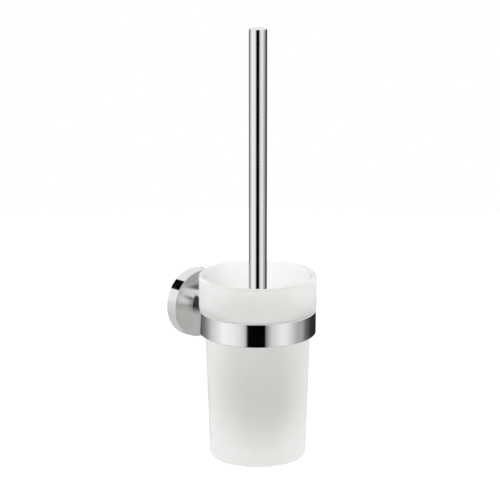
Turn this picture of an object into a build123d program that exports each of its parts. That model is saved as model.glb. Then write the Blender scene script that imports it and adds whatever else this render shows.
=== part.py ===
from build123d import *
from math import cos, pi, radians, sin
import os

# Wall-mounted toilet brush holder, in millimetres.
# Origin: centre of the two wall-screw holes, on the wall's surface.
# +Z is up, +Y goes into the wall, and the holder stands out towards -Y.

# Wall bracket: a shallow cup screwed to the wall, hidden by the rosette.
bracket_rim = 5.0
bracket_edge = 0.5
wall_hole_spacing = 30.0
wall_hole_diameter = 5.0

# Rosette: the round cover that slips over the bracket.
rosette_diameter = 63.0
rosette_depth = 12.0
rosette_wall = 3.0
rosette_face = 3.0
rosette_edge = 0.5
rosette_clearance = 0.5

# Set screw: enters the rosette from below and bears on a flat in the bracket's rim.
set_screw_diameter = 5.0
set_screw_sink = 0.5
set_screw_key = 2.5
set_screw_key_depth = 2.0
set_screw_flat_depth = 2.0
set_screw_flat_width = 7.0

# Arm between rosette and ring: it narrows towards the ring, with one screw in each end.
arm_length = 24.5
arm_wall_diameter = 23.0
arm_ring_diameter = 18.0
arm_edge = 0.4
tapped_hole_runout = 1.0

rear_screw_diameter = 6.0
rear_screw_head_diameter = 11.0
rear_screw_head_height = 3.6
rear_screw_head_room = 1.9
rear_screw_grip = 9.0
rear_screw_key = 4.0
rear_screw_key_depth = 2.2

front_screw_diameter = 5.0
front_screw_head_diameter = 9.2
front_screw_length = 12.0
front_screw_sink = 0.3
front_screw_key = 3.0
front_screw_key_depth = 2.0

screw_hole_clearance = 0.2

# How far a cut is drawn on past the face that it opens.
cut_overrun = 1.0

# Support ring that carries the glass.
ring_diameter = 104.0
ring_height = 20.6
ring_wall = 3.0
ring_edge = 0.4

# Soft liner: a sleeve inside the ring with a lip on the ring's top edge.
liner_wall = 0.9
liner_lip = 0.8
liner_lip_setback = 1.1
liner_bottom_setback = 0.5
liner_edge = 0.6

# Glass: a wide collar that stands on the lip, and a tapered body that hangs through the ring.
collar_overhang = 0.6
collar_height = 31.5
collar_edge = 2.6
rim_wall = 4.8
rim_edge = 2.2
body_depth = 135.9
body_taper = 4.55
body_wall = 4.5
body_clearance = 0.35
shoulder_edge = 0.5
inner_step_edge = 8.0
glass_base = 8.0
glass_bottom_edge = 3.0
glass_inner_edge = 7.0
foot_recess_depth = 0.8
foot_recess_margin = 9.0

# Handle: a straight tube with a pressed cap on top and a threaded bush below.
handle_diameter = 16.0
handle_wall = 1.0
handle_above_rim = 220.4
cap_thickness = 1.2
cap_spigot = 8.0
cap_edge = 0.3
bush_length = 20.0
bush_thread_depth = 16.0
stud_diameter = 8.0
stud_in_bush = 13.0
stud_in_core = 16.0
seal_thickness = 1.5
seal_setback = 0.4
seal_bore_clearance = 0.2

# Brush head: a moulded core with rings of tufts set in blind holes.
head_height = 96.2
core_diameter = 26.0
core_shoulder = 5.0
core_bottom_gap = 16.2
core_socket_runout = 2.0
bristle_diameter = 75.0
tuft_diameter = 3.6
tuft_hole_clearance = 0.05
tuft_hole_web = 0.5
row_count = 8
row_pitch = 8.0
first_row_drop = 9.0
tufts_per_row = 12
lower_row_angle = 25.0
tip_row_angle = 55.0
tip_row_tufts = 7
end_hole_depth = 4.0
tip_row_gap = 0.7

# Radii and heights that follow from the sizes above.
handle_radius = handle_diameter / 2
rosette_radius = rosette_diameter / 2
rosette_inner_depth = rosette_depth - rosette_face
bracket_plate = rosette_inner_depth - rear_screw_head_height - rear_screw_head_room
bracket_radius = rosette_radius - rosette_wall - rosette_clearance
ring_radius = ring_diameter / 2
ring_inner_radius = ring_radius - ring_wall
ring_top = ring_height / 2
axis_distance = rosette_depth + arm_length + ring_radius
liner_inner_radius = ring_inner_radius - liner_wall
collar_radius = ring_radius + collar_overhang
body_top_radius = liner_inner_radius - body_clearance
body_bottom_radius = body_top_radius - body_taper
shoulder_z = ring_top + liner_lip
rim_z = shoulder_z + collar_height
glass_bottom_z = shoulder_z - body_depth
glass_floor_z = glass_bottom_z + glass_base
handle_top_z = rim_z + handle_above_rim
core_top_z = glass_floor_z + head_height
core_bottom_z = glass_floor_z + core_bottom_gap
core_radius = core_diameter / 2
dome_z = core_bottom_z + core_radius
tube_bottom_z = core_top_z + seal_thickness
tube_top_z = handle_top_z - cap_thickness
tube_inner_radius = handle_radius - handle_wall
stud_radius = stud_diameter / 2
tuft_radius = tuft_diameter / 2
tuft_hole_radius = tuft_radius + tuft_hole_clearance

FROM_BASE = (Align.CENTER, Align.CENTER, Align.MIN)


def turned(corners):
    """Revolve a closed outline about Z. Each corner is (radius, height, rounding)."""
    points = [(radius, height) for radius, height, rounding in corners]
    roundings = [rounding for radius, height, rounding in corners]
    outline = FilletPolyline(*points, radius=roundings, close=True)
    return revolve(Plane.XZ * make_face(outline), axis=Axis.Z)


def rod(radius, low, high):
    """Round bar along Z between two heights."""
    return Pos(0, 0, low) * Cylinder(radius, high - low, align=FROM_BASE)


def hex_socket(key, low, high):
    """Hexagonal prism along Z, as wide across its flats as the key."""
    outline = RegularPolygon(key / 2, 6, major_radius=False)
    return Pos(0, 0, low) * extrude(outline, high - low)


def off_wall(part):
    """Turn a piece drawn with Z as the distance out of the wall and Y as up."""
    return Rot(90, 0, 0) * part


def on_glass_axis(part):
    """Move a piece drawn about Z to the axis of ring, glass and brush."""
    return Pos(0, -axis_distance, 0) * part


# Wall side ------------------------------------------------------------------------------------

def wall_bracket():
    rim_inner = bracket_radius - bracket_rim
    cup = turned([
        (0, 0, 0),
        (bracket_radius, 0, bracket_edge),
        (bracket_radius, rosette_inner_depth, bracket_edge),
        (rim_inner, rosette_inner_depth, 0),
        (rim_inner, bracket_plate, bracket_edge),
        (0, bracket_plate, 0),
    ])
    for side in (-1, 1):
        hole = rod(wall_hole_diameter / 2, -cut_overrun, bracket_plate + cut_overrun)
        cup -= Pos(side * wall_hole_spacing / 2, 0, 0) * hole
    flat = Box(set_screw_flat_width, 2 * set_screw_flat_depth, set_screw_flat_width)
    cup -= Pos(0, -bracket_radius, set_screw_height()) * flat
    return off_wall(cup)


def set_screw_height():
    """Distance from the wall to the set screw, halfway along the bracket's depth."""
    return rosette_inner_depth / 2


def set_screw_place():
    """Location at the screw's outer end, with Z pointing up into the rosette."""
    outer_end = -(rosette_radius - set_screw_sink)
    return Pos(0, outer_end, set_screw_height()) * Rot(-90, 0, 0)


def rosette_cover():
    inner = rosette_radius - rosette_wall
    cup = turned([
        (0, rosette_inner_depth, 0),
        (inner, rosette_inner_depth, 0),
        (inner, 0, 0),
        (rosette_radius, 0, 0),
        (rosette_radius, rosette_depth, rosette_edge),
        (0, rosette_depth, 0),
    ])
    cup -= rod(rear_screw_diameter / 2 + screw_hole_clearance, 0, rosette_depth + cut_overrun)
    thread = rod(set_screw_diameter / 2, -rosette_wall, rosette_wall)
    cup -= set_screw_place() * thread
    return off_wall(cup)


def set_screw():
    flat_y = bracket_radius - set_screw_flat_depth
    length = rosette_radius - set_screw_sink - flat_y
    screw = rod(set_screw_diameter / 2, 0, length)
    screw -= hex_socket(set_screw_key, -cut_overrun, set_screw_key_depth)
    return off_wall(set_screw_place() * screw)


def rear_thread_end():
    """Distance from the wall to the tip of the screw in the arm's wall end."""
    return rosette_depth + rear_screw_grip


def front_screw_head():
    """Distance from the wall to the head face of the screw in the arm's ring end."""
    return axis_distance - ring_inner_radius - front_screw_sink


def front_screw_cone(reach):
    """Countersunk head of the front screw, drawn on past its face by a distance."""
    narrow = front_screw_diameter / 2
    wide = front_screw_head_diameter / 2 + reach
    face = front_screw_head() + reach
    return turned([
        (0, face - (wide - narrow), 0),
        (narrow, face - (wide - narrow), 0),
        (wide, face, 0),
        (0, face, 0),
    ])


def arm():
    bar = turned([
        (0, rosette_depth, 0),
        (arm_wall_diameter / 2, rosette_depth, arm_edge),
        (arm_ring_diameter / 2, axis_distance - ring_inner_radius, 0),
        (0, axis_distance - ring_inner_radius, 0),
    ])
    bar -= rod(rear_screw_diameter / 2, 0, rear_thread_end() + tapped_hole_runout)
    front_tip = front_screw_head() - front_screw_length
    bar -= rod(front_screw_diameter / 2, front_tip - tapped_hole_runout, axis_distance)
    ring_space = on_glass_axis(Cylinder(ring_radius, 2 * ring_height))
    return off_wall(bar) - ring_space


def arm_rear_screw():
    screw = rod(rear_screw_diameter / 2, rosette_inner_depth, rear_thread_end())
    head_low = rosette_inner_depth - rear_screw_head_height
    screw += rod(rear_screw_head_diameter / 2, head_low, rosette_inner_depth)
    screw -= hex_socket(rear_screw_key, head_low - cut_overrun, head_low + rear_screw_key_depth)
    return off_wall(screw)


def arm_front_screw():
    face = front_screw_head()
    screw = rod(front_screw_diameter / 2, face - front_screw_length, face)
    screw += front_screw_cone(0)
    screw -= hex_socket(front_screw_key, face - front_screw_key_depth, face + cut_overrun)
    return off_wall(screw)


def support_ring():
    band = turned([
        (ring_inner_radius, -ring_top, ring_edge),
        (ring_radius, -ring_top, ring_edge),
        (ring_radius, ring_top, ring_edge),
        (ring_inner_radius, ring_top, ring_edge / 2),
    ])
    hole = rod(front_screw_diameter / 2 + screw_hole_clearance, 0, front_screw_head())
    return on_glass_axis(band) - off_wall(hole) - off_wall(front_screw_cone(ring_wall))


def ring_liner():
    lip_radius = ring_radius - liner_lip_setback
    sleeve = turned([
        (liner_inner_radius, -ring_top + liner_bottom_setback, 0),
        (ring_inner_radius, -ring_top + liner_bottom_setback, 0),
        (ring_inner_radius, ring_top, 0),
        (lip_radius, ring_top, 0),
        (lip_radius, shoulder_z, liner_edge / 2),
        (liner_inner_radius + liner_edge, shoulder_z, 0),
        (liner_inner_radius, shoulder_z - liner_edge, 0),
    ])
    return on_glass_axis(sleeve)


# Glass ----------------------------------------------------------------------------------------

def body_radius(height):
    """Outer radius of the tapered glass body at a height."""
    share = (height - glass_bottom_z) / body_depth
    return body_bottom_radius + share * body_taper


def glass_tumbler():
    recess_radius = body_bottom_radius - foot_recess_margin
    recess_z = glass_bottom_z + foot_recess_depth
    step_z = shoulder_z - rim_wall
    return on_glass_axis(turned([
        (0, recess_z, 0),
        (recess_radius, recess_z, foot_recess_depth / 2),
        (recess_radius, glass_bottom_z, foot_recess_depth / 4),
        (body_bottom_radius, glass_bottom_z, glass_bottom_edge),
        (body_top_radius, shoulder_z, shoulder_edge),
        (collar_radius, shoulder_z, collar_edge),
        (collar_radius, rim_z, rim_edge),
        (collar_radius - rim_wall, rim_z, rim_edge),
        (collar_radius - rim_wall, shoulder_z + rim_wall, inner_step_edge),
        (body_radius(step_z) - body_wall, step_z, inner_step_edge),
        (body_radius(glass_floor_z) - body_wall, glass_floor_z, glass_inner_edge),
        (0, glass_floor_z, 0),
    ]))


# Brush ----------------------------------------------------------------------------------------

def handle_tube():
    tube = rod(handle_radius, tube_bottom_z, tube_top_z)
    return on_glass_axis(tube - rod(tube_inner_radius, tube_bottom_z, tube_top_z))


def handle_top_cap():
    spigot_z = tube_top_z - cap_spigot
    return on_glass_axis(turned([
        (0, spigot_z, 0),
        (tube_inner_radius, spigot_z, 0),
        (tube_inner_radius, tube_top_z, 0),
        (handle_radius, tube_top_z, 0),
        (handle_radius, handle_top_z, cap_edge),
        (0, handle_top_z, 0),
    ]))


def handle_lower_bush():
    bush = rod(tube_inner_radius, tube_bottom_z, tube_bottom_z + bush_length)
    thread = rod(stud_radius, tube_bottom_z, tube_bottom_z + bush_thread_depth)
    return on_glass_axis(bush - thread)


def head_stud():
    low = core_top_z - stud_in_core
    return on_glass_axis(rod(stud_radius, low, tube_bottom_z + stud_in_bush))


def handle_seal_ring():
    ring = rod(handle_radius - seal_setback, core_top_z, tube_bottom_z)
    bore = rod(stud_radius + seal_bore_clearance, core_top_z, tube_bottom_z)
    return on_glass_axis(ring - bore)


def spoke(radius, inner, outer, azimuth, droop, height):
    """Round bar that leaves the brush axis at a height, between two distances from it."""
    turn = Rot(0, 0, azimuth) * Rot(0, 90 + droop, 0)
    return Pos(0, 0, height) * turn * rod(radius, inner, outer)


def tip_row_reach():
    """Distance from the dome's centre to the tip row's ends, just clear of the glass floor."""
    droop = radians(tip_row_angle)
    drop = dome_z - glass_floor_z - tip_row_gap - tuft_radius * cos(droop)
    return drop / sin(droop)


def hole_floor(number, droop):
    """Distance along a spoke where a row's holes still have a web of plastic between them."""
    spacing = 2 * tuft_hole_radius + tuft_hole_web
    return number * spacing / (2 * pi * cos(radians(droop)))


def tuft_rows():
    """Each row of tufts as (node, number, droop, height, hole floor, tuft end)."""
    reach = bristle_diameter / 2
    rows = []
    for index in range(row_count):
        height = core_top_z - first_row_drop - index * row_pitch
        floor = hole_floor(tufts_per_row, 0)
        rows.append((f"bristle_row_{index + 1}", tufts_per_row, 0, height, floor, reach))
    lower_floor = hole_floor(tufts_per_row, lower_row_angle)
    lower_node = f"bristle_row_{row_count + 1}"
    rows.append((lower_node, tufts_per_row, lower_row_angle, dome_z, lower_floor, reach))
    tip_floor = hole_floor(tip_row_tufts, tip_row_angle)
    rows.append(("bristle_tip", tip_row_tufts, tip_row_angle, dome_z, tip_floor, tip_row_reach()))
    end_floor = core_radius - end_hole_depth
    rows.append(("bristle_tip", 1, 90, dome_z, end_floor, dome_z - glass_floor_z))
    return rows


def row_spokes(row, order, radius, extra):
    """The bars of one row; odd rows are turned by half a pitch so that tufts are staggered."""
    node, number, droop, height, floor, end = row
    pitch = 360 / number
    start = pitch / 2 * (order % 2)
    bars = []
    for index in range(number):
        azimuth = start + index * pitch
        bars.append(spoke(radius, floor, end + extra, azimuth, droop, height))
    return bars


def brush_core():
    core = turned([
        (0, dome_z, 0),
        (core_radius, dome_z, 0),
        (core_radius, core_top_z - core_shoulder, 0),
        (handle_radius, core_top_z, 0),
        (0, core_top_z, 0),
    ])
    core += Pos(0, 0, dome_z) * Sphere(core_radius)
    core -= rod(stud_radius, core_top_z - stud_in_core - core_socket_runout, core_top_z)
    holes = []
    for order, row in enumerate(tuft_rows()):
        holes += row_spokes(row, order, tuft_hole_radius, cut_overrun)
    return on_glass_axis(core - holes)


def bristles():
    """Every row's tufts, gathered by node name."""
    tufts = {}
    for order, row in enumerate(tuft_rows()):
        node = row[0]
        tufts.setdefault(node, []).extend(row_spokes(row, order, tuft_radius, 0))
    return {node: on_glass_axis(Part() + bars) for node, bars in tufts.items()}


def pieces():
    parts = {
        "wall_bracket": wall_bracket(),
        "rosette_cover": rosette_cover(),
        "set_screw": set_screw(),
        "arm": arm(),
        "arm_rear_screw": arm_rear_screw(),
        "arm_front_screw": arm_front_screw(),
        "support_ring": support_ring(),
        "ring_liner": ring_liner(),
        "glass_tumbler": glass_tumbler(),
        "handle_tube": handle_tube(),
        "handle_top_cap": handle_top_cap(),
        "handle_lower_bush": handle_lower_bush(),
        "head_stud": head_stud(),
        "handle_seal_ring": handle_seal_ring(),
        "brush_core": brush_core(),
    }
    parts.update(bristles())
    return parts


os.makedirs("parts", exist_ok=True)
for name, piece in pieces().items():
    export_step(piece, f"parts/{name}.step")
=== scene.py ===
"""Wall-mounted toilet brush holder: chrome metalwork, frosted glass and a tufted brush."""

import math
import random

import bpy
import numpy as np
from bpy.props import FloatProperty, FloatVectorProperty, IntProperty, PointerProperty
from bpy.types import Operator, Panel, PropertyGroup
from mathutils import Matrix, Vector


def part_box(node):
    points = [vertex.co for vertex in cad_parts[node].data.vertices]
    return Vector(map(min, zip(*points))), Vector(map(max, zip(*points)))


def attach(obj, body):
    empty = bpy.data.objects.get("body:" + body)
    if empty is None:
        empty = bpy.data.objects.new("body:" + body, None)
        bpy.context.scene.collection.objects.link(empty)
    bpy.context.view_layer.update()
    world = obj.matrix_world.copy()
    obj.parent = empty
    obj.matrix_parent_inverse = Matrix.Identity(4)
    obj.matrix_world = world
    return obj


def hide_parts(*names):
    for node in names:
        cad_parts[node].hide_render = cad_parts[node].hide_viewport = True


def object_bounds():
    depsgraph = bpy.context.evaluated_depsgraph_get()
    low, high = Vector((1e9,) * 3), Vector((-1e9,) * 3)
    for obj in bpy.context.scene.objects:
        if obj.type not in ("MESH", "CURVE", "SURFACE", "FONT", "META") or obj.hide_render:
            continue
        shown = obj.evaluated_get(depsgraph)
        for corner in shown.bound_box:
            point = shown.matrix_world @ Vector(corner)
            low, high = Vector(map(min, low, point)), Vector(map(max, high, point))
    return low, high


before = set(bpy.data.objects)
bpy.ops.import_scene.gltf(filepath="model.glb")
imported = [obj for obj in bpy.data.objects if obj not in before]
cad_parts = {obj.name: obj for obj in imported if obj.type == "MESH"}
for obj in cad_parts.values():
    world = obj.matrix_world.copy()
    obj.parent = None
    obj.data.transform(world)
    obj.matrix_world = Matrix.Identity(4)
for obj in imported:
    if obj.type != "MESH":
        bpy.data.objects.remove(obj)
CAD_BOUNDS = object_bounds()

bl_info = {
    "name": "Wall-mounted toilet brush holder",
    "version": (1, 0, 0),
    "blender": (4, 5, 0),
    "location": "View3D > Sidebar > Brush Holder",
    "description": "Finishes the packed brush holder: metalwork, glass, brush and studio",
    "category": "Object",
}

MM = 0.001
AWAY_FROM_WALL = (0.0, -1.0, 0.0)
BRISTLE_NODES = sorted(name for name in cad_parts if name.startswith("bristle"))


# Sizes taken from the frame --------------------------------------------------------------------

def brush_axis():
    """Point where the axis of ring, glass and brush crosses the plane z = 0."""
    low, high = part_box("support_ring")
    middle = (low + high) / 2
    return Vector((middle.x, middle.y, 0.0))


def rim_height():
    """Height of the glass's rim."""
    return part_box("glass_tumbler")[1].z


# Settings ---------------------------------------------------------------------------------------

class ChromeSettings(PropertyGroup):
    colour: FloatVectorProperty(
        name="Colour", description="Tint of the plated metal", subtype="COLOR",
        default=(0.90, 0.90, 0.895), min=0.0, max=1.0)
    roughness: FloatProperty(
        name="Roughness", description="Roughness of freshly polished plating",
        subtype="FACTOR", default=0.05, min=0.0, max=1.0)
    haze: FloatProperty(
        name="Haze", description="How much wiping marks add to the roughness",
        subtype="FACTOR", default=0.05, min=0.0, max=1.0)
    face_roughness: FloatProperty(
        name="Face roughness", description="Roughness of the rosette's flat front",
        subtype="FACTOR", default=0.2, min=0.0, max=1.0)


class GlassSettings(PropertyGroup):
    colour: FloatVectorProperty(
        name="Colour", description="Tint of the satin glass", subtype="COLOR",
        default=(0.93, 0.93, 0.925), min=0.0, max=1.0)
    roughness: FloatProperty(
        name="Roughness", description="Roughness of the etched surface", subtype="FACTOR",
        default=0.6, min=0.0, max=1.0)
    transmission: FloatProperty(
        name="Transmission", description="Share of light that passes through", subtype="FACTOR",
        default=0.8, min=0.0, max=1.0)
    wall: FloatProperty(
        name="Body wall", description="Thickness of the tapered body's wall", subtype="DISTANCE",
        default=4.5 * MM, min=1.0 * MM, max=10.0 * MM)
    collar_wall: FloatProperty(
        name="Collar wall", description="Thickness of the collar's wall", subtype="DISTANCE",
        default=4.8 * MM, min=1.0 * MM, max=10.0 * MM)
    base: FloatProperty(
        name="Base", description="Thickness of the glass under the brush", subtype="DISTANCE",
        default=8.0 * MM, min=2.0 * MM, max=20.0 * MM)


class BrushSettings(PropertyGroup):
    filaments: IntProperty(
        name="Filaments", description="Filaments in one tuft", default=46, min=3, max=120)
    thickness: FloatProperty(
        name="Filament thickness", description="Diameter of one filament", subtype="DISTANCE",
        default=0.34 * MM, min=0.1 * MM, max=1.0 * MM)
    splay: FloatProperty(
        name="Splay", description="Width of a tuft's end as a multiple of its root",
        default=2.4, min=1.0, max=5.0)
    ragged: FloatProperty(
        name="Ragged ends", description="How far filament ends differ in length",
        subtype="DISTANCE", default=0.5 * MM, min=0.0, max=3.0 * MM)
    bend: FloatProperty(
        name="Bend", description="How far a filament's end strays sideways", subtype="DISTANCE",
        default=0.9 * MM, min=0.0, max=5.0 * MM)
    bristle_colour: FloatVectorProperty(
        name="Bristle colour", description="Colour of the nylon", subtype="COLOR",
        default=(0.94, 0.94, 0.93), min=0.0, max=1.0)
    core_colour: FloatVectorProperty(
        name="Core colour", description="Colour of the moulded core", subtype="COLOR",
        default=(0.90, 0.90, 0.89), min=0.0, max=1.0)
    seed: IntProperty(name="Seed", description="Start of the random order", default=7)


class StudioSettings(PropertyGroup):
    azimuth: FloatProperty(
        name="View azimuth", description="Side from which the camera looks", subtype="ANGLE",
        default=math.radians(-42.42))
    distance: FloatProperty(
        name="Distance", description="Level distance from camera to glass axis", subtype="DISTANCE",
        default=1.925)
    height: FloatProperty(
        name="Height", description="Height of the camera above the glass rim", subtype="DISTANCE",
        default=0.5179)
    pitch: FloatProperty(
        name="Pitch", description="How far the camera looks down", subtype="ANGLE",
        default=math.radians(14.44))
    pan: FloatProperty(
        name="Pan", description="How far the camera turns off the glass axis", subtype="ANGLE",
        default=math.radians(0.207))
    lens: FloatProperty(name="Lens", description="Focal length in millimetres", default=161.05)
    floor_drop: FloatProperty(
        name="Floor drop", description="Floor's distance below the glass", subtype="DISTANCE",
        default=1.20)
    fill: FloatProperty(
        name="Fill light", description="Brightness of the room on matt surfaces", default=1.12)
    key: FloatProperty(
        name="Key light", description="Power of the large soft light", subtype="POWER", default=4.5)


class HolderSettings(PropertyGroup):
    chrome: PointerProperty(type=ChromeSettings, name="Chrome")
    glass: PointerProperty(type=GlassSettings, name="Glass")
    brush: PointerProperty(type=BrushSettings, name="Brush")
    studio: PointerProperty(type=StudioSettings, name="Studio")


# Node helpers -----------------------------------------------------------------------------------

def add_node(tree, kind, inputs=None, **settings):
    """Add a node, set its own properties, then set or link its inputs by name or number."""
    node = tree.nodes.new(kind)
    for name, value in settings.items():
        setattr(node, name, value)
    for name, value in (inputs or {}).items():
        if isinstance(value, bpy.types.NodeSocket):
            tree.links.new(value, node.inputs[name])
        else:
            node.inputs[name].default_value = value
    return node


def new_group(name, inputs, outputs):
    """Empty shader group with float inputs (name, default) and float outputs (name)."""
    group = bpy.data.node_groups.new(name, "ShaderNodeTree")
    for label, default in inputs:
        socket = group.interface.new_socket(label, in_out="INPUT", socket_type="NodeSocketFloat")
        socket.default_value = default
    for label in outputs:
        group.interface.new_socket(label, in_out="OUTPUT", socket_type="NodeSocketFloat")
    source = group.nodes.new("NodeGroupInput")
    target = group.nodes.new("NodeGroupOutput")
    return group, source.outputs, target.inputs


def group_node(tree, group, values):
    """Place a shader group with its own values."""
    node = tree.nodes.new("ShaderNodeGroup")
    node.node_tree = group
    for name, value in values.items():
        node.inputs[name].default_value = value
    return node


def object_point(tree, scale):
    """The surface point in object coordinates, scaled."""
    coordinates = add_node(tree, "ShaderNodeTexCoord")
    mapping = add_node(tree, "ShaderNodeMapping", {
        "Vector": coordinates.outputs["Object"], "Scale": scale})
    return mapping.outputs["Vector"]


def haze_group():
    """Roughness that wiping marks raise in soft patches and in faint streaks."""
    if "Polish haze" in bpy.data.node_groups:
        return bpy.data.node_groups["Polish haze"]
    group, given, result = new_group(
        "Polish haze", [("Roughness", 0.05), ("Haze", 0.05), ("Patch scale", 30.0)], ["Roughness"])
    point = object_point(group, (1.0, 1.0, 1.0))
    patches = add_node(group, "ShaderNodeTexNoise", {
        "Vector": point, "Scale": given["Patch scale"], "Detail": 4.0, "Roughness": 0.6})
    streak_point = object_point(group, (6.0, 6.0, 0.6))
    streaks = add_node(group, "ShaderNodeTexNoise", {
        "Vector": streak_point, "Scale": given["Patch scale"], "Detail": 2.0})
    both = add_node(group, "ShaderNodeMath", {
        0: patches.outputs["Fac"], 1: streaks.outputs["Fac"]}, operation="MULTIPLY")
    shaped = add_node(group, "ShaderNodeMapRange", {
        "Value": both.outputs[0], "From Min": 0.15, "From Max": 0.45}, clamp=True)
    raised = add_node(group, "ShaderNodeMath", {
        0: shaped.outputs[0], 1: given["Haze"], 2: given["Roughness"]}, operation="MULTIPLY_ADD")
    group.links.new(raised.outputs[0], result["Roughness"])
    return group


def grain_group():
    """Fine pitted grain as a height, with a slow mottling as a mask."""
    if "Surface grain" in bpy.data.node_groups:
        return bpy.data.node_groups["Surface grain"]
    group, given, result = new_group(
        "Surface grain", [("Grain scale", 900.0), ("Mottle scale", 25.0)], ["Height", "Mottle"])
    point = object_point(group, (1.0, 1.0, 1.0))
    grain = add_node(group, "ShaderNodeTexNoise", {
        "Vector": point, "Scale": given["Grain scale"], "Detail": 3.0, "Roughness": 0.6})
    mottle = add_node(group, "ShaderNodeTexNoise", {
        "Vector": point, "Scale": given["Mottle scale"], "Detail": 3.0})
    group.links.new(grain.outputs["Fac"], result["Height"])
    group.links.new(mottle.outputs["Fac"], result["Mottle"])
    return group


def new_material(name, **values):
    """Material with one Principled shader whose plain sockets are set by name."""
    material = bpy.data.materials.new(name)
    material.use_nodes = True
    tree = material.node_tree
    shader = tree.nodes["Principled BSDF"]
    for label, value in values.items():
        shader.inputs[label.replace("_", " ")].default_value = value
    return material, tree, shader


def rgba(colour):
    """A colour with full alpha."""
    return (*colour, 1.0)


def add_haze(tree, shader, roughness, haze, scale=30.0):
    """Roughness with wiping marks; returns the group's node."""
    node = group_node(tree, haze_group(), {
        "Roughness": roughness, "Haze": haze, "Patch scale": scale})
    tree.links.new(node.outputs["Roughness"], shader.inputs["Roughness"])
    return node


def add_grain(tree, shader, grain_scale, depth, mottle_scale, dark, light):
    """Grain as a bump, and mottling between two close colours."""
    node = group_node(tree, grain_group(), {
        "Grain scale": grain_scale, "Mottle scale": mottle_scale})
    bump = add_node(tree, "ShaderNodeBump", {"Height": node.outputs["Height"], "Distance": depth})
    tree.links.new(bump.outputs["Normal"], shader.inputs["Normal"])
    colour = add_node(tree, "ShaderNodeMix", {
        "Factor": node.outputs["Mottle"], "A": rgba(dark), "B": rgba(light)}, data_type="RGBA")
    tree.links.new(colour.outputs["Result"], shader.inputs["Base Color"])


def shade(colour, factor):
    """A colour made darker by a factor under 1."""
    return tuple(channel * factor for channel in colour)


# Materials --------------------------------------------------------------------------------------

def polished_chrome():
    settings = bpy.context.scene.brush_holder.chrome
    material, tree, shader = new_material(
        "polished_chrome", Metallic=1.0, Base_Color=rgba(settings.colour))
    add_haze(tree, shader, settings.roughness, settings.haze)
    return material


def rosette_chrome():
    """Chrome whose flat front, which looks away from the wall, is duller than its turned edge."""
    settings = bpy.context.scene.brush_holder.chrome
    material, tree, shader = new_material(
        "rosette_chrome", Metallic=1.0, Base_Color=rgba(settings.colour))
    haze = add_haze(tree, shader, settings.roughness, settings.haze)
    normal = add_node(tree, "ShaderNodeTexCoord").outputs["Normal"]
    outward = add_node(
        tree, "ShaderNodeVectorMath", {0: normal, 1: AWAY_FROM_WALL}, operation="DOT_PRODUCT")
    front = add_node(tree, "ShaderNodeMapRange", {
        "Value": outward.outputs["Value"], "From Min": 0.8, "From Max": 1.0,
        "To Min": settings.roughness, "To Max": settings.face_roughness})
    tree.links.new(front.outputs[0], haze.inputs["Roughness"])
    return material


def screw_steel():
    material, tree, shader = new_material(
        "bright_steel", Metallic=1.0, Base_Color=(0.55, 0.55, 0.54, 1.0))
    add_haze(tree, shader, roughness=0.22, haze=0.2, scale=120.0)
    return material


def bush_brass():
    material, tree, shader = new_material(
        "turned_brass", Metallic=1.0, Base_Color=(0.72, 0.54, 0.25, 1.0))
    add_haze(tree, shader, roughness=0.2, haze=0.25, scale=90.0)
    return material


def cast_zinc():
    material, tree, shader = new_material("cast_zinc", Metallic=0.9, Roughness=0.45)
    add_grain(
        tree, shader, grain_scale=1400.0, depth=0.06 * MM, mottle_scale=60.0,
        dark=(0.40, 0.40, 0.39), light=(0.52, 0.52, 0.51))
    return material


def frosted_glass():
    settings = bpy.context.scene.brush_holder.glass
    material, tree, shader = new_material(
        "frosted_glass", Roughness=settings.roughness, IOR=1.3, Specular_IOR_Level=0.1,
        Transmission_Weight=settings.transmission)
    add_grain(
        tree, shader, grain_scale=2500.0, depth=0.02 * MM, mottle_scale=18.0,
        dark=shade(settings.colour, 0.985), light=settings.colour)
    return material


def liner_plastic():
    material, tree, shader = new_material(
        "liner_plastic", Roughness=0.35, Transmission_Weight=0.3)
    add_grain(
        tree, shader, grain_scale=1200.0, depth=0.01 * MM, mottle_scale=40.0,
        dark=(0.80, 0.80, 0.79), light=(0.86, 0.86, 0.85))
    return material


def seal_rubber():
    material, tree, shader = new_material("seal_rubber", Roughness=0.75)
    add_grain(
        tree, shader, grain_scale=1500.0, depth=0.03 * MM, mottle_scale=80.0,
        dark=(0.018, 0.018, 0.018), light=(0.035, 0.035, 0.035))
    return material


def core_plastic():
    settings = bpy.context.scene.brush_holder.brush
    material, tree, shader = new_material("core_plastic", Roughness=0.42)
    add_grain(
        tree, shader, grain_scale=1100.0, depth=0.02 * MM, mottle_scale=45.0,
        dark=shade(settings.core_colour, 0.94), light=settings.core_colour)
    return material


def bristle_nylon():
    settings = bpy.context.scene.brush_holder.brush
    material, tree, shader = new_material("bristle_nylon", Roughness=0.35, IOR=1.53)
    add_grain(
        tree, shader, grain_scale=3000.0, depth=0.005 * MM, mottle_scale=150.0,
        dark=shade(settings.bristle_colour, 0.9), light=settings.bristle_colour)
    return material


# Mesh helpers -----------------------------------------------------------------------------------

# An outline point nearer to the axis than this lies on it.
ON_AXIS = 1e-7
# Edges that bend more than this are shaded sharp.
SHARP_ANGLE = math.radians(40.0)


def rounded_outline(corners, steps):
    """Points of a closed outline whose corners are (radius, height, rounding)."""
    points = []
    for index, (radius, height, rounding) in enumerate(corners):
        here = Vector((radius, height))
        if rounding <= 0.0:
            points.append(here)
            continue
        towards_last = (Vector(corners[index - 1][:2]) - here).normalized()
        towards_next = (Vector(corners[(index + 1) % len(corners)][:2]) - here).normalized()
        half = towards_last.angle(towards_next) / 2
        centre = here + (towards_last + towards_next).normalized() * (rounding / math.sin(half))
        start = (here + towards_last * (rounding / math.tan(half)) - centre).normalized()
        end = (here + towards_next * (rounding / math.tan(half)) - centre).normalized()
        for step in range(steps + 1):
            points.append(centre + start.slerp(end, step / steps) * rounding)
    return points


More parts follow.
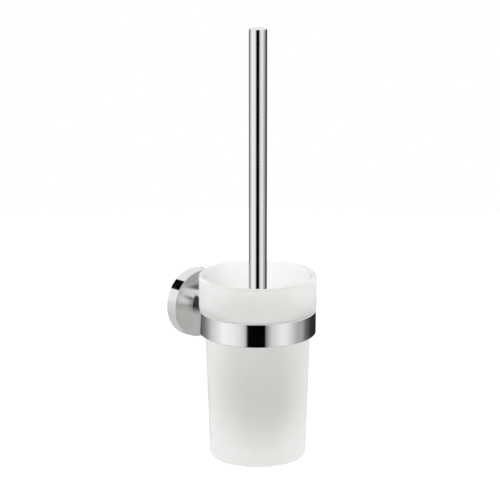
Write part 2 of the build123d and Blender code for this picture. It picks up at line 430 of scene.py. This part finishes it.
def lathe_mesh(name, corners, segments, steps):
    """Closed mesh of an outline turned about Z; an outline point on the axis becomes one vertex."""
    vertices = []
    rings = []
    for radius, height in rounded_outline(corners, steps):
        first = len(vertices)
        count = segments if radius > ON_AXIS else 1
        for index in range(count):
            angle = 2 * math.pi * index / segments
            vertices.append((radius * math.cos(angle), radius * math.sin(angle), height))
        rings.append((first, count))
    faces = []
    for (low, low_count), (high, high_count) in zip(rings, rings[1:] + rings[:1]):
        if low_count == high_count == 1:
            continue
        for index in range(segments):
            after = (index + 1) % segments
            corners_of_face = [low + index % low_count, low + after % low_count,
                               high + after % high_count, high + index % high_count]
            faces.append(list(dict.fromkeys(corners_of_face)))
    mesh = bpy.data.meshes.new(name)
    mesh.from_pydata(vertices, [], faces)
    mesh.validate()
    return mesh


def smooth(mesh):
    """Shade a mesh smooth except across sharp edges."""
    mesh.polygons.foreach_set("use_smooth", [True] * len(mesh.polygons))
    mesh.set_sharp_from_angle(angle=SHARP_ANGLE)


def place(name, mesh, body, material, replaced):
    """Link a made piece, give it its finish and let it ride on its body in place of CAD nodes."""
    piece = bpy.data.objects.new(name, mesh)
    bpy.context.scene.collection.objects.link(piece)
    mesh.materials.append(material)
    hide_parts(*replaced)
    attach(piece, body)
    return piece


def finish_node(node, material):
    """Give a CAD node, which keeps its shape, its finish."""
    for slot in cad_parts[node].material_slots:
        slot.material = material


# Glass ------------------------------------------------------------------------------------------

# Segments round the glass, and steps in each rounding.
GLASS_SEGMENTS = 192
GLASS_STEPS = 10
# Gap between the liner and the glass body, and how much narrower the body is at its foot.
LINER_GAP = 0.35 * MM
BODY_TAPER = 4.55 * MM
# The hollow under the foot.
FOOT_MARGIN = 9.0 * MM
FOOT_RECESS = 0.8 * MM
# Roundings, from the foot up and down the inside.
FOOT_EDGE = 3.0 * MM
SHOULDER_EDGE = 0.5 * MM
COLLAR_EDGE = 2.6 * MM
RIM_EDGE = 2.2 * MM
STEP_EDGE = 8.0 * MM
FLOOR_EDGE = 7.0 * MM


def inner_radius(node):
    """Smallest distance of a ring-shaped node's vertices from the brush axis."""
    axis = brush_axis()
    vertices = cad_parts[node].data.vertices
    return min((vertex.co - axis).to_2d().length for vertex in vertices)


def glass_corners():
    """Outline of the glass: foot, tapered outside, collar, rim, then down the inside."""
    settings = bpy.context.scene.brush_holder.glass
    low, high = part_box("glass_tumbler")
    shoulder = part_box("ring_liner")[1].z
    collar = (high.x - low.x) / 2
    top = inner_radius("ring_liner") - LINER_GAP
    foot = top - BODY_TAPER

    def inside(height):
        return foot + BODY_TAPER * (height - low.z) / (shoulder - low.z) - settings.wall

    floor = low.z + settings.base
    step = shoulder - settings.collar_wall
    recess = low.z + FOOT_RECESS
    return [
        (0.0, recess, 0.0),
        (foot - FOOT_MARGIN, recess, FOOT_RECESS / 2),
        (foot - FOOT_MARGIN, low.z, FOOT_RECESS / 4),
        (foot, low.z, FOOT_EDGE),
        (top, shoulder, SHOULDER_EDGE),
        (collar, shoulder, COLLAR_EDGE),
        (collar, high.z, RIM_EDGE),
        (collar - settings.collar_wall, high.z, RIM_EDGE),
        (collar - settings.collar_wall, shoulder + settings.collar_wall, STEP_EDGE),
        (inside(step), step, STEP_EDGE),
        (inside(floor), floor, FLOOR_EDGE),
        (0.0, floor, 0.0),
    ]


# Brush ------------------------------------------------------------------------------------------

# CAD vertices that share a cell of this size are one corner.
CELL = 0.01 * MM
# How far from its tuft's root a filament starts, and how far it stays above the glass's floor.
ROOT_GAP = 3.0 * MM
FLOOR_GAP = 0.25 * MM
# Points along a filament, corners of its section, and how late along it a tuft fans out.
STATIONS = 5
SIDES = 3
FAN_POWER = 1.5
# How far a filament's place in its tuft may turn, in radians.
TURN_SPREAD = 0.2
# Share of the ragged length by which a filament may be longer than its tuft.
LONG_SHARE = 0.2
GOLDEN_ANGLE = math.pi * (3 - math.sqrt(5))


def core_hub():
    """Centre of the brush core's length, on its axis."""
    low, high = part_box("brush_core")
    return np.array((low + high) / 2)


def separate_clouds(mesh):
    """The vertices of each separate solid in a mesh, as arrays of points."""
    points = np.array([vertex.co for vertex in mesh.vertices])
    owner = list(range(len(points)))

    def root_of(index):
        while owner[index] != index:
            owner[index] = owner[owner[index]]
            index = owner[index]
        return index

    first_in_cell = {}
    for index, point in enumerate(points):
        cell = tuple(np.round(point / CELL).astype(int))
        owner[index] = first_in_cell.setdefault(cell, index)
    for polygon in mesh.polygons:
        first = root_of(polygon.vertices[0])
        for vertex in polygon.vertices[1:]:
            owner[root_of(vertex)] = first
    islands = {}
    for index in range(len(points)):
        islands.setdefault(root_of(index), []).append(index)
    return [points[members] for members in islands.values()]


def tuft_bars(node):
    """The root centre, tip centre and radius of every tuft in a bristle node, in a fixed order."""
    hub = core_hub()

    def from_hub(centre):
        return np.linalg.norm(centre - hub)

    def by_height_then_round(bar):
        tip = bar[1]
        return round(tip.z, 5), math.atan2(tip.y - hub[1], tip.x)

    bars = []
    for cloud in separate_clouds(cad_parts[node].data):
        middle = (cloud.min(0) + cloud.max(0)) / 2
        direction = np.linalg.svd(cloud - cloud.mean(0))[2][0]
        along = (cloud - middle) @ direction
        ends = cloud[along < 0], cloud[along >= 0]
        root, tip = sorted((end.mean(0) for end in ends), key=from_hub)
        radius = np.linalg.norm(ends[1] - ends[1].mean(0), axis=1).max()
        bars.append((Vector(root), Vector(tip), float(radius)))
    return sorted(bars, key=by_height_then_round)


def filament_points(start, end, offset, splay, stray, floor):
    """A filament's line from inside its hole to its end, fanning out and bending as it goes."""
    line = []
    for index in range(STATIONS):
        share = index / (STATIONS - 1)
        point = start.lerp(end, share) + offset * (1 + (splay - 1) * share ** FAN_POWER)
        point += stray * share ** 2
        point.z = max(point.z, floor)
        line.append(point)
    return line


def add_filament(vertices, faces, line, spokes):
    """Add a closed tube along a line, with one vertex at the end of each spoke."""
    first = len(vertices)
    for point in line:
        vertices.extend(point + spoke for spoke in spokes)
    for station in range(len(line) - 1):
        base = first + station * SIDES
        for corner in range(SIDES):
            after = (corner + 1) % SIDES
            faces.append((base + corner, base + after, base + after + SIDES, base + corner + SIDES))
    last = first + (len(line) - 1) * SIDES
    faces.append(tuple(first + corner for corner in reversed(range(SIDES))))
    faces.append(tuple(last + corner for corner in range(SIDES)))


def bristle_mesh(node, settings, order):
    """Every tuft of one node as a bundle of thin three-sided filaments."""
    chance = random.Random(settings.seed * 1000 + order)
    glass = bpy.context.scene.brush_holder.glass
    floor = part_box("glass_tumbler")[0].z + glass.base + FLOOR_GAP
    vertices = []
    faces = []
    for root, tip, radius in tuft_bars(node):
        axis = (tip - root).normalized()
        side = axis.orthogonal().normalized()
        other = axis.cross(side)

        def across(angle):
            return side * math.cos(angle) + other * math.sin(angle)

        start = root + axis * ROOT_GAP
        widest = radius - settings.thickness / 2
        for index in range(settings.filaments):
            reach = widest * math.sqrt((index + 0.5) / settings.filaments)
            turn = GOLDEN_ANGLE * index + chance.uniform(-TURN_SPREAD, TURN_SPREAD)
            end = tip + axis * chance.uniform(-settings.ragged, settings.ragged * LONG_SHARE)
            way = chance.uniform(0, 2 * math.pi)
            stray = across(way) * chance.uniform(0, settings.bend)
            line = filament_points(start, end, across(turn) * reach, settings.splay, stray, floor)
            spokes = [
                across(corner * 2 * math.pi / SIDES + turn) * settings.thickness / 2
                for corner in range(SIDES)]
            add_filament(vertices, faces, line, spokes)
    mesh = bpy.data.meshes.new(node + "_filaments")
    mesh.from_pydata(vertices, [], faces)
    return mesh


# Studio -----------------------------------------------------------------------------------------

# Brightness of the room that the chrome mirrors, by degrees to the right of the camera: the floor,
# the strips of light a little below the horizon, and the ceiling with its dark slot.
FLOOR_STOPS = (
    (-180, 0.60), (-90, 0.62), (-40, 0.30), (0, 0.14), (40, 0.30), (90, 0.62), (180, 0.60),
)
STRIP_STOPS = (
    (-180, 0.06), (-152, 0.10), (-128, 0.22), (-116, 0.38), (-104, 0.62), (-90, 0.76), (-72, 0.98),
    (-50, 0.90), (-34, 0.76), (-25, 0.58), (-22, 0.30), (-20.5, 0.0), (14, 0.0), (16.5, 0.25),
    (28, 0.66), (48, 0.88), (57, 0.87), (68, 0.72), (79, 0.53), (87, 0.41), (97, 0.41), (103, 0.29),
    (110, 0.14), (130, 0.03), (150, 0.02), (180, 0.06),
)
CEILING_STOPS = ((-180, 0.86), (-30, 0.88), (-22, 0.02), (16, 0.02), (24, 0.88), (180, 0.86))
# Degrees of height between which the floor gives way to the strips, and those to the ceiling.
FLOOR_BLEND = (-34.0, -22.0)
CEILING_BLEND = (-7.0, 3.0)
# Dark square card beside the holder: degrees right of the camera, degrees up, and half its side.
CARD = (-114.0, 38.0, 12.0)
# How often light may turn in the glass before it is dropped.
LIGHT_BOUNCES = 24
# The round floor, in metres.
FLOOR_RADIUS = 6.0
FLOOR_THICKNESS = 0.01
FLOOR_SEGMENTS = 96
# The large soft light: its diameter, its angle left of the camera, its level distance from the
# brush's axis, and its height.
KEY_SIZE = 1.2
KEY_ANGLE = math.radians(45.0)
KEY_DISTANCE = 1.4
KEY_HEIGHT = 1.0


def make_camera(settings):
    """Camera that looks down on the holder from its front left."""
    data = bpy.data.cameras.new("camera")
    data.lens = settings.lens
    data.sensor_width = 36.0
    data.clip_start = 0.05
    data.clip_end = 50.0
    camera = bpy.data.objects.new("camera", data)
    bpy.context.scene.collection.objects.link(camera)
    azimuth = settings.azimuth
    away = Vector((math.sin(azimuth), -math.cos(azimuth), 0.0)) * settings.distance
    camera.location = brush_axis() + away + Vector((0.0, 0.0, rim_height() + settings.height))
    turn = azimuth + settings.pan
    level = math.cos(settings.pitch)
    look = Vector((-math.sin(turn) * level, math.cos(turn) * level, -math.sin(settings.pitch)))
    camera.rotation_mode = "QUATERNION"
    camera.rotation_quaternion = look.to_track_quat("-Z", "Y")
    bpy.context.scene.camera = camera


def in_degrees(tree, socket):
    """An angle in radians turned into degrees."""
    return add_node(tree, "ShaderNodeMath", {0: socket}, operation="DEGREES").outputs[0]


def within(tree, value, middle, half):
    """1 where a value is at most half away from the middle, else 0."""
    test = add_node(tree, "ShaderNodeMath", {0: value, 1: middle, 2: half}, operation="COMPARE")
    return test.outputs[0]


def fill_ramp(ramp, stops):
    """Set a colour ramp's stops as greys."""
    while len(ramp.elements) > 1:
        ramp.elements.remove(ramp.elements[-1])
    ramp.elements[0].position = stops[0][0]
    for position, value in stops[1:]:
        ramp.elements.new(position)
    for element, (position, value) in zip(ramp.elements, stops):
        element.color = (value, value, value, 1.0)


def ring_of_light(tree, around, stops):
    """Grey by degrees round the camera, from stops of (degrees, brightness)."""
    ramp = add_node(tree, "ShaderNodeValToRGB", {"Fac": around})
    fill_ramp(ramp.color_ramp, [((angle + 180) / 360, value) for angle, value in stops])
    return ramp.outputs["Color"]


def blend_by_height(tree, height, span, below, above):
    """One light below a span of degrees, another above it, and a soft change between."""
    share = add_node(tree, "ShaderNodeMapRange", {
        "Value": height, "From Min": span[0], "From Max": span[1]}, interpolation_type="SMOOTHSTEP")
    blend = add_node(tree, "ShaderNodeMix", {
        "Factor": share.outputs[0], "A": below, "B": above}, data_type="RGBA")
    return blend.outputs["Result"]


def room_light(tree, azimuth):
    """Colour of the strip-lit room in the direction of a ray."""
    direction = add_node(tree, "ShaderNodeTexCoord").outputs["Generated"]
    turned = add_node(tree, "ShaderNodeVectorRotate", {
        "Vector": direction, "Angle": math.pi - azimuth}, rotation_type="Z_AXIS").outputs[0]
    parts = add_node(tree, "ShaderNodeSeparateXYZ", {0: turned})
    rightward = add_node(
        tree, "ShaderNodeMath", {0: parts.outputs["X"], 1: -1.0}, operation="MULTIPLY")
    level = add_node(
        tree, "ShaderNodeMath", {0: rightward.outputs[0], 1: parts.outputs["Y"]},
        operation="ARCTAN2")
    around = add_node(tree, "ShaderNodeMapRange", {
        "Value": level.outputs[0], "From Min": -math.pi, "From Max": math.pi}).outputs[0]
    rise = add_node(tree, "ShaderNodeMath", {0: parts.outputs["Z"]}, operation="ARCSINE")
    height = in_degrees(tree, rise.outputs[0])
    floor, strips, ceiling = (
        ring_of_light(tree, around, stops) for stops in (FLOOR_STOPS, STRIP_STOPS, CEILING_STOPS))
    low = blend_by_height(tree, height, FLOOR_BLEND, floor, strips)
    lit = blend_by_height(tree, height, CEILING_BLEND, low, ceiling)
    beside = within(tree, in_degrees(tree, level.outputs[0]), CARD[0], CARD[2])
    above = within(tree, height, CARD[1], CARD[2])
    card = add_node(tree, "ShaderNodeMath", {0: beside, 1: above}, operation="MULTIPLY")
    room = add_node(tree, "ShaderNodeMix", {
        "Factor": card.outputs[0], "A": lit, "B": (0.0, 0.0, 0.0, 1.0)}, data_type="RGBA")
    return room.outputs["Result"]


def make_world(settings):
    """White backdrop, strip-lit room in reflections and an even soft fill on everything else."""
    world = bpy.data.worlds.new("studio")
    bpy.context.scene.world = world
    world.use_nodes = True
    tree = world.node_tree
    tree.nodes.clear()
    path = add_node(tree, "ShaderNodeLightPath")
    room = add_node(tree, "ShaderNodeBackground", {"Color": room_light(tree, settings.azimuth)})
    fill = add_node(tree, "ShaderNodeBackground", {
        "Color": (1.0, 1.0, 0.99, 1.0), "Strength": settings.fill})
    backdrop = add_node(tree, "ShaderNodeBackground", {
        "Color": (1.0, 1.0, 1.0, 1.0), "Strength": 1.0})
    mirrored = add_node(tree, "ShaderNodeMath", {
        0: path.outputs["Is Glossy Ray"], 1: path.outputs["Transmission Depth"]},
        operation="SUBTRACT", use_clamp=True)
    unlit = add_node(tree, "ShaderNodeMixShader", {
        0: mirrored.outputs[0], 1: fill.outputs[0], 2: room.outputs[0]})
    seen = add_node(tree, "ShaderNodeMixShader", {
        0: path.outputs["Is Camera Ray"], 1: unlit.outputs[0], 2: backdrop.outputs[0]})
    output = add_node(tree, "ShaderNodeOutputWorld")
    tree.links.new(seen.outputs[0], output.inputs["Surface"])


def make_floor(settings):
    """Wide round pale floor under the holder, not seen in the chrome or through the glass."""
    outline = [
        (0.0, 0.0, 0.0),
        (FLOOR_RADIUS, 0.0, 0.0),
        (FLOOR_RADIUS, -FLOOR_THICKNESS, 0.0),
        (0.0, -FLOOR_THICKNESS, 0.0),
    ]
    mesh = lathe_mesh("floor", outline, FLOOR_SEGMENTS, 1)
    floor = bpy.data.objects.new("floor", mesh)
    floor.location = brush_axis() + Vector((0.0, 0.0, CAD_BOUNDS[0].z - settings.floor_drop))
    material, tree, shader = new_material("floor_paint", Roughness=0.9)
    add_grain(
        tree, shader, grain_scale=40.0, depth=0.02 * MM, mottle_scale=3.0,
        dark=(0.96, 0.96, 0.96), light=(1.0, 1.0, 1.0))
    mesh.materials.append(material)
    bpy.context.scene.collection.objects.link(floor)
    floor.visible_glossy = False
    floor.visible_transmission = False


def make_key(settings):
    """Large soft light above and to the left of the camera."""
    data = bpy.data.lights.new("key", "AREA")
    data.shape = "DISK"
    data.size = KEY_SIZE
    data.energy = settings.key
    key = bpy.data.objects.new("key", data)
    side = settings.azimuth - KEY_ANGLE
    target = brush_axis()
    key.location = target + Vector((
        math.sin(side) * KEY_DISTANCE, -math.cos(side) * KEY_DISTANCE, KEY_HEIGHT))
    key.rotation_mode = "QUATERNION"
    key.rotation_quaternion = (target - key.location).to_track_quat("-Z", "Y")
    key.visible_glossy = False
    bpy.context.scene.collection.objects.link(key)


# Operators --------------------------------------------------------------------------------------

class BRUSH_HOLDER_OT_studio(Operator):
    """Make the camera, the pale floor, the white backdrop and the soft studio light"""

    bl_idname = "brush_holder.studio"
    bl_label = "Studio"

    def execute(self, context):
        settings = context.scene.brush_holder.studio
        context.scene.view_settings.view_transform = "Standard"
        for kind in ("max", "diffuse", "glossy", "transmission"):
            setattr(context.scene.cycles, kind + "_bounces", LIGHT_BOUNCES)
        make_camera(settings)
        make_world(settings)
        make_floor(settings)
        make_key(settings)
        return {"FINISHED"}


class BRUSH_HOLDER_OT_metalwork(Operator):
    """Chrome plate the rosette, arm, ring, handle tube and its cap"""

    bl_idname = "brush_holder.metalwork"
    bl_label = "Chrome metalwork"

    def execute(self, context):
        finish_node("rosette_cover", rosette_chrome())
        plating = polished_chrome()
        for node in ("arm", "support_ring", "handle_tube", "handle_top_cap"):
            finish_node(node, plating)
        return {"FINISHED"}


class BRUSH_HOLDER_OT_fittings(Operator):
    """Finish the hidden bracket, screws, stud, bush, seal and liner"""

    bl_idname = "brush_holder.fittings"
    bl_label = "Fittings"

    def execute(self, context):
        finish_node("wall_bracket", cast_zinc())
        steel = screw_steel()
        for node in ("set_screw", "arm_rear_screw", "arm_front_screw", "head_stud"):
            finish_node(node, steel)
        finish_node("handle_lower_bush", bush_brass())
        finish_node("handle_seal_ring", seal_rubber())
        finish_node("ring_liner", liner_plastic())
        return {"FINISHED"}


class BRUSH_HOLDER_OT_glass(Operator):
    """Turn the frosted glass tumbler with its wide collar"""

    bl_idname = "brush_holder.glass"
    bl_label = "Frosted glass"

    def execute(self, context):
        mesh = lathe_mesh("glass", glass_corners(), GLASS_SEGMENTS, GLASS_STEPS)
        mesh.transform(Matrix.Translation(brush_axis()))
        smooth(mesh)
        glass = place(
            "frosted_tumbler", mesh, "glass", frosted_glass(), ["glass_tumbler"])
        glass.modifiers.new("even_shading", "WEIGHTED_NORMAL").keep_sharp = True
        glass.visible_glossy = False
        return {"FINISHED"}


class BRUSH_HOLDER_OT_core(Operator):
    """Finish the moulded brush core"""

    bl_idname = "brush_holder.core"
    bl_label = "Brush core"

    def execute(self, context):
        finish_node("brush_core", core_plastic())
        return {"FINISHED"}


class BRUSH_HOLDER_OT_bristles(Operator):
    """Grow the filaments of every row of tufts"""

    bl_idname = "brush_holder.bristles"
    bl_label = "Bristles"

    def execute(self, context):
        settings = context.scene.brush_holder.brush
        nylon = bristle_nylon()
        for order, node in enumerate(BRISTLE_NODES):
            mesh = bristle_mesh(node, settings, order)
            place(node + "_filaments", mesh, "brush", nylon, [node])
        return {"FINISHED"}


class BRUSH_HOLDER_PT_panel(Panel):
    """Sidebar panel with the holder's settings and steps"""

    bl_idname = "BRUSH_HOLDER_PT_panel"
    bl_label = "Brush holder"
    bl_space_type = "VIEW_3D"
    bl_region_type = "UI"
    bl_category = "Brush Holder"

    def draw(self, context):
        settings = context.scene.brush_holder
        for group in (settings.chrome, settings.glass, settings.brush, settings.studio):
            box = self.layout.box()
            for name in type(group).__annotations__:
                box.prop(group, name)
        for operator in OPERATORS:
            self.layout.operator(operator.bl_idname)


OPERATORS = (
    BRUSH_HOLDER_OT_studio,
    BRUSH_HOLDER_OT_metalwork,
    BRUSH_HOLDER_OT_fittings,
    BRUSH_HOLDER_OT_glass,
    BRUSH_HOLDER_OT_core,
    BRUSH_HOLDER_OT_bristles,
)
CLASSES = (
    ChromeSettings,
    GlassSettings,
    BrushSettings,
    StudioSettings,
    HolderSettings,
    *OPERATORS,
    BRUSH_HOLDER_PT_panel,
)


def register():
    for cls in CLASSES:
        bpy.utils.register_class(cls)
    bpy.types.Scene.brush_holder = PointerProperty(type=HolderSettings)


def unregister():
    del bpy.types.Scene.brush_holder
    for cls in reversed(CLASSES):
        bpy.utils.unregister_class(cls)


def main():
    """Make everything in order."""
    register()
    for operator in OPERATORS:
        getattr(bpy.ops.brush_holder, operator.bl_idname.split(".")[1])()


if __name__ == "__main__":
    main()
